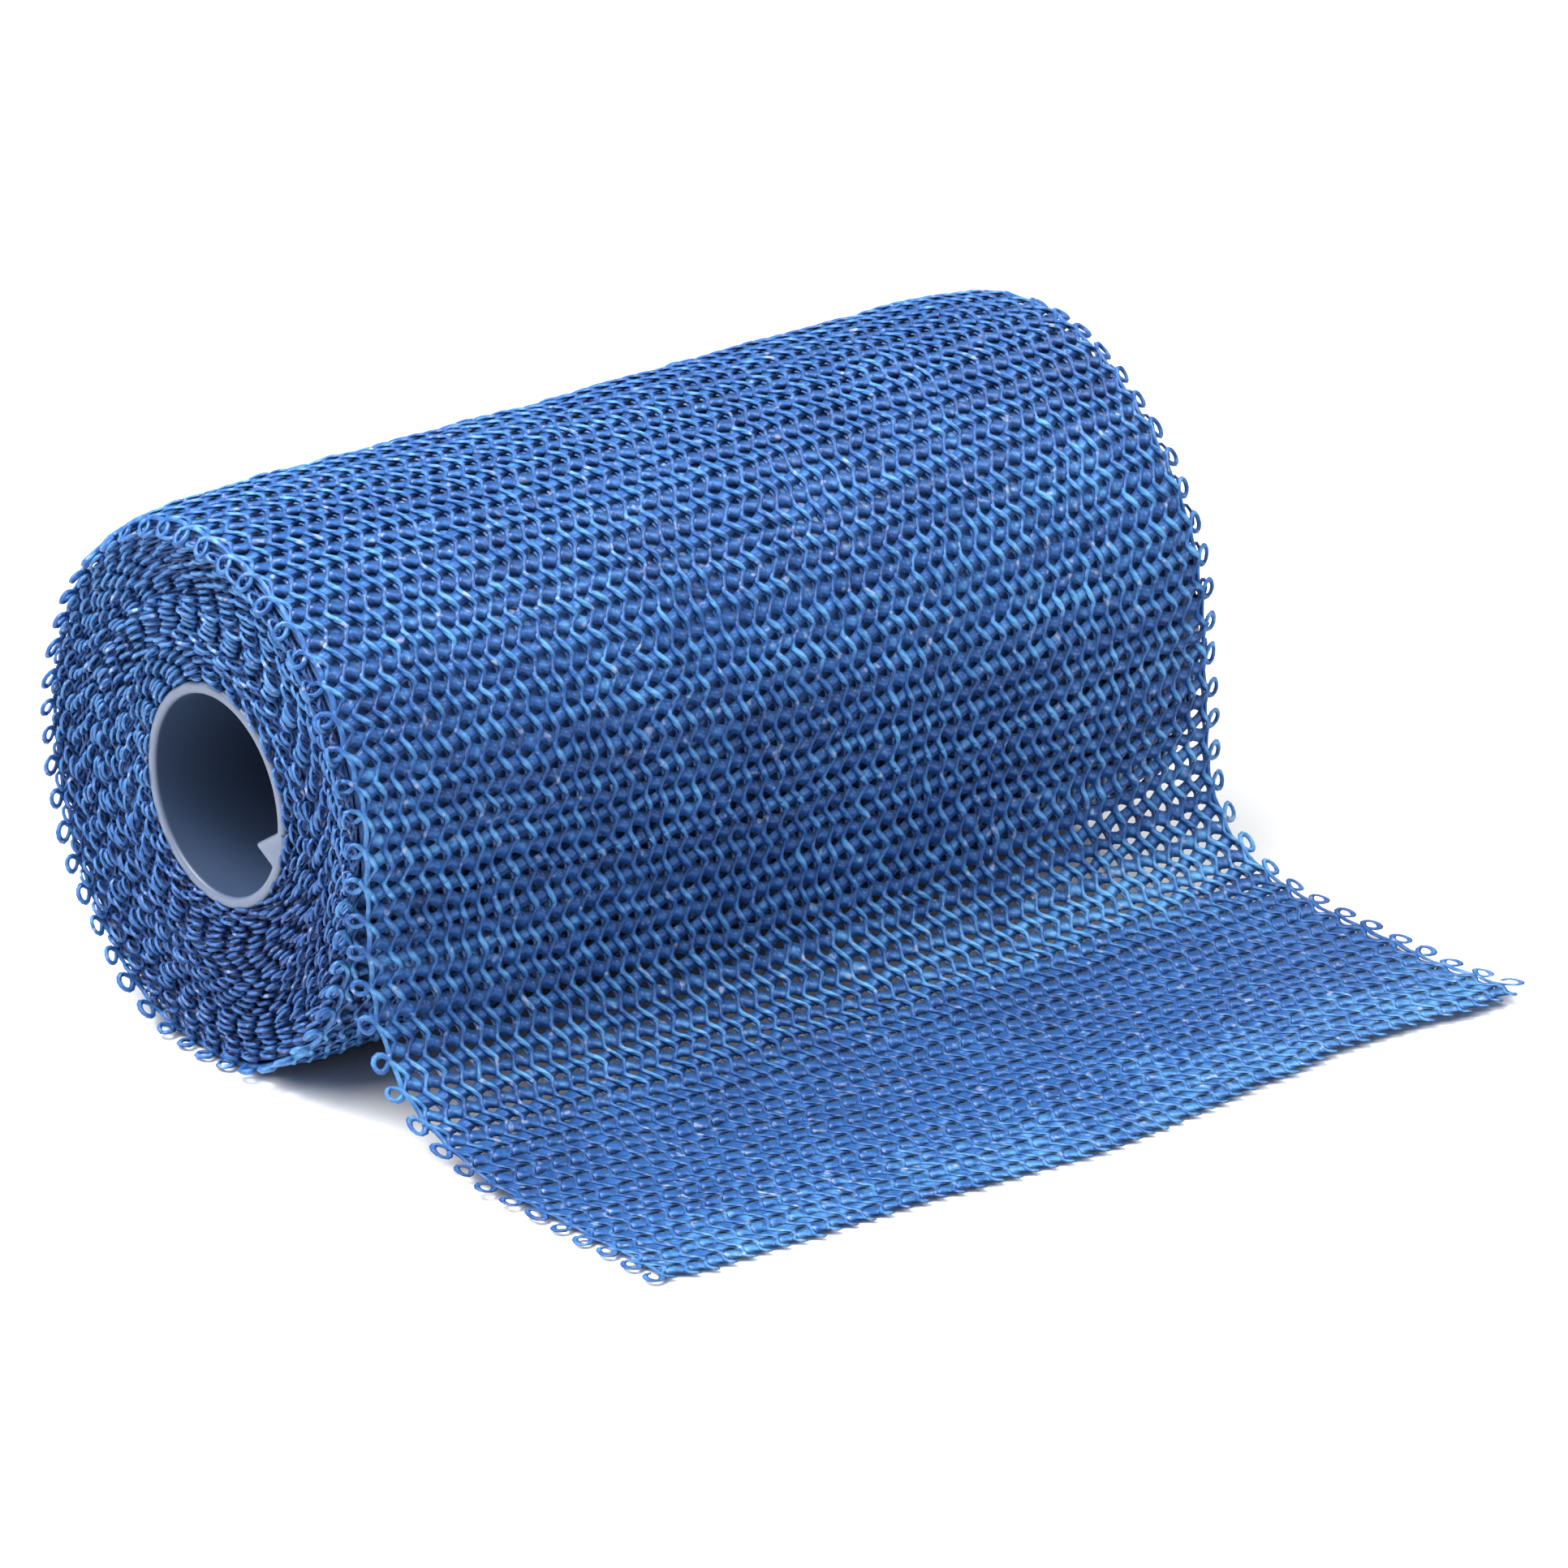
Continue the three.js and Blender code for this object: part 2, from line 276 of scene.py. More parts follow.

# Tones, from deep (0) to pale (1), with which light and shade are painted on the cloth
LOOP_TONE = 0.75  # the least on the edge loops
FLAT_PAINTED_SHADE = 0.53  # painted shade of the roll, where the loose end lies flat near it
CUT_PAINTED_LIGHT = 0.9  # painted light, at its cut end
FLAT_EVEN = 0.85  # how far the colour evens out to these two
TOP_PAINTED_LIGHT = 0.62  # painted light on top of the roll
TOP_EVEN = 0.4  # how far the colour evens out to that
SLANT_PAINTED_HIGHLIGHT = 0.25  # painted highlight: how much paler a pillar is where it slants towards the far end
SLANT_MEAN = 0.21  # about the mean of that along a yarn, which is taken off again
BEAD_PAINTED_HIGHLIGHT = 0.2  # painted highlight: how much paler a cross yarn is in its middle
BEAD_MEAN = 1.25  # the same for the cross yarns
SWEEP_PAINTED_LIGHT = 0.08  # painted light: how much paler the loose end is where it sweeps down to the floor
FAR_SWEEP_PAINTED_LIGHT = 0.4  # the same towards the far selvedge, painted for the light that comes through it there
FAR_LIGHT = 50  # from the tape's middle to where that is full
END_PAINTED_LIGHT = 0.24  # painted light and shade: how much paler an end face is towards its upper back than towards its lower front
END_PAINTED_LIGHT_TURN = 30  # degrees from the top towards the back at which that painted light is palest

# Random unevenness over the tape: how strong it is, how long its lumps are across and along, and its seed
RIPPLES = named_rows(
    "name amount across along seed",
    ("aside", 0.13, 9, 10, 11),
    ("aside, fine", 0.07, 2.6, 3.2, 12),
    ("ahead", 0.16, 8, 8, 13),
    ("ahead, fine", 0.08, 2.6, 3, 14),
    ("lift", 0.09, 7, 10, 15),
    ("lift, fine", 0.05, 2.6, 3.4, 16),
    ("sway", 0.22, 11, 13, 17),
    ("weave", 1.6, 7, 1.3, 23),
    ("row tone", 0.055, 60, 6, 41),
    ("pillar tone", 0.09, 2.4, 4, 42),
    ("cross yarn tone", 0.09, 2.4, 2.2, 43),
)

# The two yarns of a pillar: how much further than the pillar it swings, the level at which it lies, how
# far it lifts where it slants towards the far end, and half its width and depth
PLIES = named_rows(
    "swing level lift half_width half_depth",
    (0.12, 0.14, 0.14, 0.37, 0.22),
    (-0.3, -0.16, -0.04, 0.3, 0.16),
)

# The cross yarns of the two courses in a repeat: where in it their middle is, how far they rise along the
# tape from pillar to pillar, half their width, how much more that is where they enter the pillars, half
# their depth, and how far their middle drops
COURSES = named_rows(
    "middle rise half_width flare half_depth drop",
    (0.0, -0.7, 0.67, 0.28, 0.18, 0.06),
    (0.5, 0.7, 0.72, 0.28, 0.18, 0.08),
)


def read_table(rows, column, at, free_ends=False):
    """One column of a table at places along it, smooth from row to row. With free ends it arrives there
    on its last slope, and otherwise level."""
    places, values = rows["at"], rows[column]
    at = np.clip(at, places[0], places[-1])
    row = np.clip(np.searchsorted(places, at), 1, len(places) - 1)
    slopes = np.zeros(len(places))
    slopes[1:-1] = (values[2:] - values[:-2]) / (places[2:] - places[:-2])
    if free_ends:
        slopes[0] = (values[1] - values[0]) / (places[1] - places[0])
        slopes[-1] = (values[-1] - values[-2]) / (places[-1] - places[-2])
    span = places[row] - places[row - 1]
    t = (at - places[row - 1]) / span
    return (
        values[row - 1] * (1 + 2 * t) * (1 - t) ** 2
        + slopes[row - 1] * span * t * (1 - t) ** 2
        + values[row] * (3 - 2 * t) * t**2
        - slopes[row] * span * t**2 * (1 - t)
    )


def smooth_step(value, low, high):
    t = np.clip((value - low) / (high - low), 0, 1)
    return t * t * (3 - 2 * t)


def rises(v, places):
    """0 along the tape up to the first of two places, and 1 from the second on."""
    first, last = places
    return smooth_step(v, first * REPEAT, last * REPEAT)


def ripple(name, x, v):
    """One of the random unevennesses, mostly within its amount to each side of 0."""
    (rough,) = (row for row in RIPPLES if row.name == name)
    draw = np.random.default_rng(rough.seed)
    total = np.zeros(np.broadcast(x, v).shape)
    waves = 10
    for _ in range(waves):
        turn, phase = draw.uniform(0, 2 * pi, 2)
        stretch = draw.uniform(0.6, 1.5)
        across = stretch * pi * np.cos(turn) / rough.across
        along = stretch * pi * np.sin(turn) / rough.along
        total += np.sin(across * x + along * v + phase)
    return rough.amount * total / np.sqrt(waves / 2)


def with_distance(rows, full_length=None):
    """A selvedge as a table over the distance along the near one."""
    points = np.stack([rows["x"], rows["y"], rows["z"]], axis=1)
    steps = np.linalg.norm(np.diff(points, axis=0), axis=1)
    distance = np.concatenate([[0], np.cumsum(steps)])
    if full_length:
        distance *= full_length / distance[-1]
    return {"at": distance, **rows}


NEAR = with_distance(NEAR_SELVEDGE)
LOOSE_LENGTH = NEAR["at"][-1]
FAR = with_distance(FAR_SELVEDGE, LOOSE_LENGTH)


def surface_radius(x, angle):
    """How far the roll's surface lies from the core's axis."""
    share = x / TAPE_WIDTH + 0.5
    near, far = (read_table(ROLL_OUTLINE, side, angle) for side in ("near", "far"))
    line = near + (far - near) * share
    return line + read_table(ROLL_OUTLINE, "swell", angle) * read_table(SHOULDERS, "full", x)


def on_roll(x, angle, height):
    """Places at a height over the middle of the outermost turn, flat where the roll rests."""
    radius = surface_radius(x, angle) - HALF_CLOTH + height
    y = radius * np.cos(np.radians(angle))
    z = AXIS_HEIGHT + radius * np.sin(np.radians(angle))
    return np.stack([x, y, np.maximum(z, HALF_CLOTH + height)], axis=-1)


def loose_surface(x, s):
    """Places on the loose end's upper side, at a distance from the parting line."""
    t = x / TAPE_WIDTH + 0.5
    inside = np.clip(s, 0, LOOSE_LENGTH)
    near, far = (
        np.stack([read_table(rows, axis, inside, True) for axis in "xyz"], axis=-1)
        for rows in (NEAR, FAR)
    )
    place = near + (far - near) * t[..., None]
    place[..., 2] = near[..., 2] + (far - near)[..., 2] * np.clip(t, 0, None) ** FAR_EDGE_CURL
    place[..., 1] -= read_table(NEAR, "belly", inside) * read_table(SHOULDERS, "full", x)
    place[..., 2] -= np.minimum(s, 0) + SETTLE
    return place


def on_loose_end(x, s, height):
    """Places at a height over the middle of the loose end."""
    step = 0.4
    along = loose_surface(x, s + step) - loose_surface(x, s - step)
    up = np.stack([np.zeros_like(s), along[..., 2], -along[..., 1]], axis=-1)
    up /= np.linalg.norm(up, axis=-1, keepdims=True)
    place = loose_surface(x, s) + up * (height - HALF_CLOTH)[..., None]
    place[..., 2] = np.maximum(place[..., 2], HALF_CLOTH + height)
    return place


def on_tape(x, v, height):
    """Places on the tape as it lies: v is the length along it, less than 0 on the roll and 0 where it
    leaves it."""
    bow = ROW_BOW * (1 - (x / (TAPE_WIDTH / 2)) ** 2)
    share = np.clip(x / TAPE_WIDTH + 0.5, 0, 1)
    end = LOOSE_LENGTH - read_table(CUT_END, "short", share) + CUT_REACH
    full = LOOSE_REPEATS * REPEAT
    s = v + bow + smooth_step(v, full / 2, full) * (end - full - bow)
    angle = PARTING + s * 360 / (TURN_REPEATS * REPEAT)
    left = smooth_step(s, -PARTING_BLEND, PARTING_BLEND)[..., None]
    return on_roll(x, angle, height) * (1 - left) + on_loose_end(x, s, height) * left


def uneven(x, v, height):
    """The tape's own unevenness: stitches crowd, part and stand up a little here and there."""
    across, along, lift = (
        ripple(name, x, v) + ripple(f"{name}, fine", x, v) for name in ("aside", "ahead", "lift")
    )
    return x + across, v + along, height + lift


def sway(x, v):
    """How far a pillar of stitches lies to one side."""
    phase = 2 * pi * v / REPEAT
    wave = np.sin(phase) - ZIGZAG * np.sin(3 * phase)
    return SIDE_SWAY * wave * (1 + ripple("sway", x, v))


def select_only(piece):
    bpy.ops.object.select_all(action="DESELECT")
    piece.select_set(True)
    bpy.context.view_layer.objects.active = piece


def join(name, parts):
    """Joins pieces, the first of which gives the whole its place."""
    bpy.ops.object.select_all(action="DESELECT")
    for part in parts:
        part.select_set(True)
    bpy.context.view_layer.objects.active = parts[0]
    bpy.ops.object.join()
    parts[0].name = parts[0].data.name = name
    return parts[0]


def places_of(piece):
    """A piece's vertices, in millimetres."""
    flat = np.empty(len(piece.data.vertices) * 3)
    piece.data.vertices.foreach_get("co", flat)
    return flat.reshape(-1, 3) / MM


def move_places(piece, places):
    piece.data.vertices.foreach_set("co", (np.asarray(places) * MM).ravel())
    piece.data.update()


def lay_down(piece, places):
    """Moves a piece's vertices to their last places, none of them below the floor."""
    places[:, 2] = np.maximum(places[:, 2], FLOOR_CLEAR)
    move_places(piece, places)


def give_attribute(piece, name, values):
    """A number for each vertex, or three of them."""
    values = np.asarray(values, float)
    kind, key = ("FLOAT", "value") if values.ndim == 1 else ("FLOAT_VECTOR", "vector")
    attribute = piece.data.attributes.new(name, kind, "POINT")
    attribute.data.foreach_set(key, values.ravel())


def take_attribute(piece, name):
    """The numbers of an attribute, which then goes, and 0 where it has none."""
    attribute = piece.data.attributes.get(name)
    values = np.zeros(len(piece.data.vertices))
    if attribute:
        attribute.data.foreach_get("value", values)
        piece.data.attributes.remove(attribute)
    return values


def array(piece, count, offset, weld=None):
    """Repeats a piece with an applied array, and joins its copies where they are closer than the weld."""
    if count < 2:
        return
    select_only(piece)
    repeat = piece.modifiers.new("repeat", "ARRAY")
    repeat.count = count
    repeat.use_relative_offset = False
    repeat.use_constant_offset = True
    repeat.constant_offset_displace = [distance * MM for distance in offset]
    if weld:
        repeat.use_merge_vertices = True
        repeat.merge_threshold = weld * MM
    bpy.ops.object.modifier_apply(modifier=repeat.name)


def straight_yarn(name, length, segments):
    """A straight, four-sided yarn along +Y with closed ends, 1 mm from its middle line to its corners."""
    bpy.ops.object.select_all(action="DESELECT")
    bpy.ops.mesh.primitive_circle_add(vertices=4, radius=MM, rotation=(pi / 2, 0, 0))
    yarn = bpy.context.object
    yarn.name = yarn.data.name = name
    bpy.ops.object.transform_apply(location=False)
    step = length / segments
    bpy.ops.object.mode_set(mode="EDIT")
    bpy.ops.mesh.select_all(action="SELECT")
    bpy.ops.mesh.extrude_region_move(TRANSFORM_OT_translate={"value": (0, step * MM, 0)})
    bpy.ops.object.mode_set(mode="OBJECT")
    array(yarn, segments, (0, step, 0), weld=step / 20)
    bpy.ops.object.mode_set(mode="EDIT")
    bpy.ops.mesh.select_all(action="SELECT")
    bpy.ops.mesh.fill_holes(sides=0)
    bpy.ops.mesh.select_all(action="SELECT")
    bpy.ops.mesh.normals_make_consistent(inside=False)
    bpy.ops.object.mode_set(mode="OBJECT")
    smooth_sides(yarn)
    return yarn


def smooth_sides(yarn):
    """Smooth shading along a yarn, and flat shading on its two cut ends."""
    normals = np.empty(len(yarn.data.polygons) * 3)
    yarn.data.polygons.foreach_get("normal", normals)
    yarn.data.polygons.foreach_set("use_smooth", np.abs(normals[1::3]) < 0.5)


def spare_yarns(name, length, segments, columns=1, rows=1):
    """Straight yarns laid out apart from each other, ready to be bent, and for each of their vertices its
    column, its row, how far along its yarn it lies, and how far aside and above the yarn's middle line."""
    apart = 10.0
    yarn = straight_yarn(name, length, segments)
    give_attribute(yarn, "ply", places_of(yarn))
    array(yarn, columns, (apart, 0, 0))
    array(yarn, rows, (0, length + apart, 0))
    aside, along, above = places_of(yarn).T
    column = np.round(aside / apart)
    row = np.floor((along + apart / 2) / (length + apart))
    return yarn, column, row, along - row * (length + apart), aside - column * apart, above


def lay_along(path, along, aside, above):
    """Places of a bent yarn's vertices: its section is carried along a path, square to it."""
    step = 0.05
    here = path(along)
    ahead = path(along + step) - path(along - step)
    ahead /= np.linalg.norm(ahead, axis=-1, keepdims=True)
    side = np.cross(ahead, [0, 0, 1.0])
    side /= np.linalg.norm(side, axis=-1, keepdims=True)
    up = np.cross(side, ahead)
    return here + side * aside[..., None] + up * above[..., None]


def pillar_yarns(name, first, count, start, repeats, ply):
    """One of the two zigzag yarns of each pillar, side by side over part of the tape."""
    per_repeat = 8
    yarn, column, _, along, aside, above = spare_yarns(
        name, repeats * REPEAT, repeats * per_repeat, columns=count
    )
    middle = FIRST_WALE + (first + column) * WALE_PITCH
    v = start + along
    slant = np.cos(2 * pi * v / REPEAT)

    def path(v):
        phase = 2 * pi * v / REPEAT
        x = middle + sway(middle, v) + ply.swing * np.sin(phase)
        return np.stack([x, v, ply.level + ply.lift * np.cos(phase)], axis=-1)

    width = ply.half_width * (1 + SLANT_WIDTH * slant)
    move_places(yarn, lay_along(path, v, aside * width, above * ply.half_depth))
    # painted highlight on the slants towards the far end, where the pillars catch the light
    slant_highlight = np.maximum(slant, 0) ** 3 - SLANT_MEAN
    give_attribute(yarn, "tone", SLANT_PAINTED_HIGHLIGHT * slant_highlight + ripple("pillar tone", middle, v))
    return yarn


def cross_yarns(name, first, count, start, repeats, course):
    """The flat slanting yarns of one course in each repeat, which tie each pillar to the next."""
    segments = 3
    yarn, column, row, along, aside, above = spare_yarns(name, CROSS_LENGTH, segments, count, repeats)
    gap = FIRST_WALE + (first + column + 0.5) * WALE_PITCH
    share = along / CROSS_LENGTH - 0.5
    middle = start + (row + course.middle) * REPEAT
    width = course.half_width + course.flare * (2 * share) ** 2
    width *= 1 + CLOSED_UP * rises(middle, LIES_FLAT)
    v = middle + share * course.rise + aside * width
    x = gap + share * CROSS_LENGTH + sway(gap, v)
    height = above * course.half_depth - course.drop * np.cos(pi * share)
    move_places(yarn, np.stack([x, v, height], axis=1))
    # painted highlight in the middle of each cross yarn
    bead_highlight = 2 * np.cos(pi * share) - BEAD_MEAN
    give_attribute(yarn, "tone", BEAD_PAINTED_HIGHLIGHT * bead_highlight + ripple("cross yarn tone", gap, middle))
    return yarn


def loop_lie(side, v):
    """How an edge loop lies: how far it curls in over the end face, how much smaller it is, and how much
    further out it stands."""
    if side < 0:
        come_round = rises(v, NEAR_LOOPS_COME_ROUND)
        front = come_round * (1 - rises(v, NEAR_LOOPS_LET_GO))
        return NEAR_CURL * front, NEAR_DRAWN_IN * front, NEAR_OUT * (1 - come_round)
    out = FAR_OUT * (1 - rises(v, FAR_LOOPS_COME_ROUND)) + FLAT_OUT * rises(v, LIES_FLAT)
    return FAR_CURL * (1 - rises(v, FAR_LOOPS_LET_GO)), 0, out


def edge_loops(name, side, start, length):
    """The yarn that rings back over itself all along a selvedge, the near one (-1) or the far one (1)."""
    per_repeat = 14
    segments = round(per_repeat * length / REPEAT)
    yarn, _, _, along, aside, above = spare_yarns(name, length, segments)
    last = FIRST_WALE + (WALES - 1) * WALE_PITCH * (side > 0)
    outermost_sway = side / 4

    def path(v):
        phase = 2 * pi * (v / REPEAT - outermost_sway)
        curl, drawn_in, out = loop_lie(side, v)
        reach = (LOOP_MIDDLE + LOOP_REACH * np.cos(phase)) * (1 - drawn_in) + out
        back = LOOP_SWING * (1 - drawn_in) * np.sin(phase)
        height = LOOP_LIFT * np.sin(phase) - curl * (1 + np.cos(phase)) ** 2
        return np.stack([last + side * reach, v - back, height], axis=-1)

    move_places(yarn, lay_along(path, start + along, aside * LOOP_YARN, above * LOOP_YARN))
    return yarn


def turn_radius(side, at, angle):
    """How far a wound turn's outside lies from the axis, from the core (0) to the outermost turn (1)."""
    bore = CORE_RADIUS + PIECE_GAP
    rim = surface_radius(np.full(np.shape(angle), side * TAPE_WIDTH / 2), angle)
    closed = rim + PARTING_DROP * (1 - smooth_step(angle, PARTING - 360, SETTLED_ANGLE))
    return bore + (closed - bore) * at


def end_recess(side, at, angle):
    """How far a wound turn's edge loops stand back from the tape's full width."""
    drift = WANDERS_ROUND * np.radians(angle) + WANDER_DRIFT * at
    column = "near" if side < 0 else "far"
    return read_table(END_FACE, column, at) + read_table(END_FACE, "wander", at) * np.sin(drift)


def winding(side):
    """The wound turns as a spiral: the distance along it after each of many parts of a turn."""
    parts = 90
    turns = np.linspace(0, WOUND_TURNS - 1, (WOUND_TURNS - 1) * parts)
    angle = PARTING - 360 + (turns % 1) * 360
    radius = turn_radius(side, turns / WOUND_TURNS, angle)
    steps = np.diff(turns) * 2 * pi * (radius[1:] + radius[:-1]) / 2
    return turns, np.concatenate([[0], np.cumsum(steps)])


def end_turns(name, side):
    """The edges of the wound turns on one end face: each turn's last pillar and its loops, which weave
    up and down between the turns beside them."""
    turns, distance = winding(side)
    repeats = int(distance[-1] / REPEAT)
    draw = np.random.default_rng(LOOP_SEED)

    def by_repeat(mean, spread):
        values = draw.normal(mean, spread, repeats + 1)
        return lambda v: np.interp(v / REPEAT, np.arange(repeats + 1), values)

    def spiral(v):
        turn = np.interp(v, distance, turns)
        return PARTING - 360 + (turn % 1) * 360, turn / WOUND_TURNS

    size, stray = by_repeat(1.0, SIZE_SPREAD), by_repeat(0.0, LIFT_SPREAD)
    slip = by_repeat(0.0, SLIP)

    def weave(v):
        angle, at = spiral(v)
        swing = WEAVE * np.tanh(ripple("weave", at * WOUND_TURNS, angle / WEAVE_ANGLE))
        return (swing + stray(v)) * np.sin(2 * pi * v / REPEAT)

    def pillar_path(v):
        phase = 2 * pi * v / REPEAT
        return np.stack([WOUND_PILLAR - WOUND_SWAY * np.cos(phase), v, weave(v)], axis=-1)

    def loop_path(v):
        phase = 2 * pi * v / REPEAT
        out = WOUND_MIDDLE + WOUND_REACH * size(v) * np.cos(phase)
        return np.stack([out, v - WOUND_SWING * size(v) * np.sin(phase), weave(v)], axis=-1)

    strands = []
    for part, path, per_repeat in (("pillar", pillar_path, 6), ("loops", loop_path, 12)):
        yarn, _, _, along, aside, above = spare_yarns(
            f"{name}_{part}", repeats * REPEAT, repeats * per_repeat
        )
        move_places(yarn, lay_along(path, along, aside * WOUND_YARN, above * WOUND_YARN))
        strands.append(yarn)
    piece = join(name, strands)
    out, v, height = places_of(piece).T
    v = v + slip(v / SLIP_REPEATS)
    angle, at = spiral(v)
    # painted shade towards the roots of the loops, and painted light towards the upper back of the end face
    painted_light_and_tone = out / WOUND_TIP + END_PAINTED_LIGHT * np.sin(np.radians(angle + END_PAINTED_LIGHT_TURN))
    give_attribute(piece, "painted_light_and_tone", np.clip(painted_light_and_tone, 0, 1))
    radius = turn_radius(side, at, angle) - HALF_CLOTH + height
    x = side * (TAPE_WIDTH / 2 - end_recess(side, at, angle) - WOUND_TIP + out)
    y = radius * np.cos(np.radians(angle))
    z = AXIS_HEIGHT + radius * np.sin(np.radians(angle))
    lay_down(piece, np.stack([x, y, z], axis=1))
    return piece


def turns_below(name):
    """What shows through the knit and between the loops: the mass of the wound turns."""
    bpy.ops.object.select_all(action="DESELECT")
    node = frame["nodes"]["wound_tape"]
    body = node.copy()
    body.data = node.data.copy()
    body.name = body.data.name = name
    body.parent = None
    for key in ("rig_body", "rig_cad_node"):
        if key in body:
            del body[key]
    bpy.context.scene.collection.objects.link(body)
    select_only(body)
    bpy.ops.object.mode_set(mode="EDIT")
    bpy.ops.mesh.select_all(action="SELECT")
    bpy.ops.mesh.remove_doubles(threshold=WELD * MM)
    bpy.ops.object.mode_set(mode="OBJECT")
    places = places_of(body)
    bore = CORE_RADIUS + PIECE_GAP
    y, z = places[:, 1], places[:, 2] - AXIS_HEIGHT
    radius = np.hypot(y, z)
    outermost = ROLL_OUTLINE["near"].mean()
    on_top = smooth_step(z / radius, *TOP_SIDES)
    depth = BODY_DEPTH + (TOP_DEPTH - BODY_DEPTH) * on_top
    smaller = bore + (radius - bore) * (1 - depth / (outermost - bore))
    x = places[:, 0] * (1 - BODY_INSET / (TAPE_WIDTH / 2))
    move_places(body, np.stack([x, y * smaller / radius, AXIS_HEIGHT + z * smaller / radius], axis=1))
    # painted light: the turns below are paler on top
    give_attribute(body, "painted_light_and_tone", BODY_TONE + (BODY_TOP_PAINTED_LIGHT - BODY_TONE) * on_top)
    bpy.ops.object.shade_smooth_by_angle(angle=radians(50))
    return body


def core_tube():
    """The plastic core: an extruded tube with one V-shaped key in its bore."""
    points = 144
    feet = np.radians([KEY_LOWER_FOOT, KEY_UPPER_FOOT + 360])
    bore = (np.linspace(*feet, points - 1), np.full(points - 1, CORE_RADIUS - CORE_WALL))
    key_tip = (np.radians(KEY_TIP + 360), KEY_TIP_RADIUS)
    inner = [np.append(values, tip) for values, tip in zip(bore, key_tip)]
    full_turn = np.linspace(feet[0], feet[0] + 2 * pi, points, endpoint=False)
    rings = []
    for turn, radius in (inner, (full_turn, np.full(points, CORE_RADIUS))):
        bpy.ops.object.select_all(action="DESELECT")
        bpy.ops.mesh.primitive_circle_add(vertices=points)
        ring = bpy.context.object
        x = np.full(points, -CORE_LENGTH / 2)
        move_places(ring, np.stack([x, radius * np.cos(turn), AXIS_HEIGHT + radius * np.sin(turn)], axis=1))
        rings.append(ring)
    core = join("core_tube", rings)
    bpy.ops.object.mode_set(mode="EDIT")
    bpy.ops.mesh.select_all(action="SELECT")
    bpy.ops.mesh.bridge_edge_loops()
    bpy.ops.mesh.select_all(action="SELECT")
    bpy.ops.mesh.extrude_region_move(TRANSFORM_OT_translate={"value": (CORE_LENGTH * MM, 0, 0)})
    bpy.ops.mesh.select_all(action="SELECT")
    bpy.ops.mesh.normals_make_consistent(inside=False)
    bpy.ops.object.mode_set(mode="OBJECT")
    bevel = core.modifiers.new("rim", "BEVEL")
    bevel.width = RIM_ROUND * MM
    bevel.segments = 4
    bevel.limit_method = "ANGLE"
    bevel.angle_limit = radians(40)
    bpy.ops.object.modifier_apply(modifier=bevel.name)
    bpy.ops.object.shade_smooth_by_angle(angle=radians(35))
    return core


def tone_of(piece, x, v, height):
    """How deep or pale the cloth is: painted shade where its yarns lie low, painted highlights that its
    yarns bring along, random tone, and painted light and shade from where the cloth lies.
    """
    # painted shade: the lower a yarn lies in the cloth, the deeper its tone
    tone = (height + HALF_CLOTH) / (2 * HALF_CLOTH)
    past_the_pillars = np.abs(x) > 0.5 - FIRST_WALE  # by half a millimetre or more
    tone = np.where(past_the_pillars, np.maximum(tone, LOOP_TONE), tone)
    tone += take_attribute(piece, "tone") + ripple("row tone", x, v)
    # painted light where the loose end sweeps down, more of it towards the far selvedge
    towards_far = smooth_step(x, 0, FAR_LIGHT)
    tone += rises(v, SWEEPS_DOWN) * (SWEEP_PAINTED_LIGHT + (FAR_SWEEP_PAINTED_LIGHT - SWEEP_PAINTED_LIGHT) * towards_far)
    # painted light on top of the roll, which evens out the painted shade there
    on_top = rises(v, TOP_BEGINS) * (1 - rises(v, TOP_ENDS))
    tone += on_top * (TOP_PAINTED_LIGHT - tone) * TOP_EVEN
    # painted shade of the roll where the loose end lies flat near it, and painted light towards its cut end
    flat_painted_light = FLAT_PAINTED_SHADE + (CUT_PAINTED_LIGHT - FLAT_PAINTED_SHADE) * rises(v, NEARS_THE_CUT)
    return tone + rises(v, LIES_FLAT) * (flat_painted_light - tone) * FLAT_EVEN


def finish_cloth(name, parts):
    """Joins yarns that are laid out flat and lays them on the tape's form."""
    piece = join(name, parts)
    x, v, height = places_of(piece).T
    give_attribute(piece, "painted_light_and_tone", tone_of(piece, x, v, height))
    x, v, height = uneven(x, v, height * (1 - PRESSED * rises(v, LIES_FLAT)))
    lay_down(piece, on_tape(x, v, height))
    return piece


def pillars(name, first, count, start, repeats):
    """Both yarns of each pillar on a stretch of the knit."""
    return [
        pillar_yarns(f"{name}_yarn_{number}", first, count, start, repeats, ply)
        for number, ply in enumerate(PLIES)
    ]


def courses(name, first, count, start, repeats):
    """The cross yarns on a stretch of the knit."""
    gaps = count if first + count < WALES else count - 1
    return [
        cross_yarns(f"{name}_course_{number}", first, gaps, start, repeats, course)
        for number, course in enumerate(COURSES)
    ]


# Materials
BUNDLES = 3.0  # filament bundles round a yarn
YARN_TURNS = 5.0  # radians that they turn on each millimetre of it
FINE_NOISE = (900.0, 2.0)  # the scale and detail of each noise
BROAD_NOISE = (70.0, 3.0)
GLINT_NOISE = (800.0, 1.0)
PAINTED_LIGHT_SHARE = 0.75  # what the painted light and shade and the two noises add to the tone
SPECK_SHARE = 0.75
PATCH_SHARE = 0.45
DEEP_TO_MIDDLE = (0.05, 0.5)
MIDDLE_TO_PALE = (0.55, 1.1)
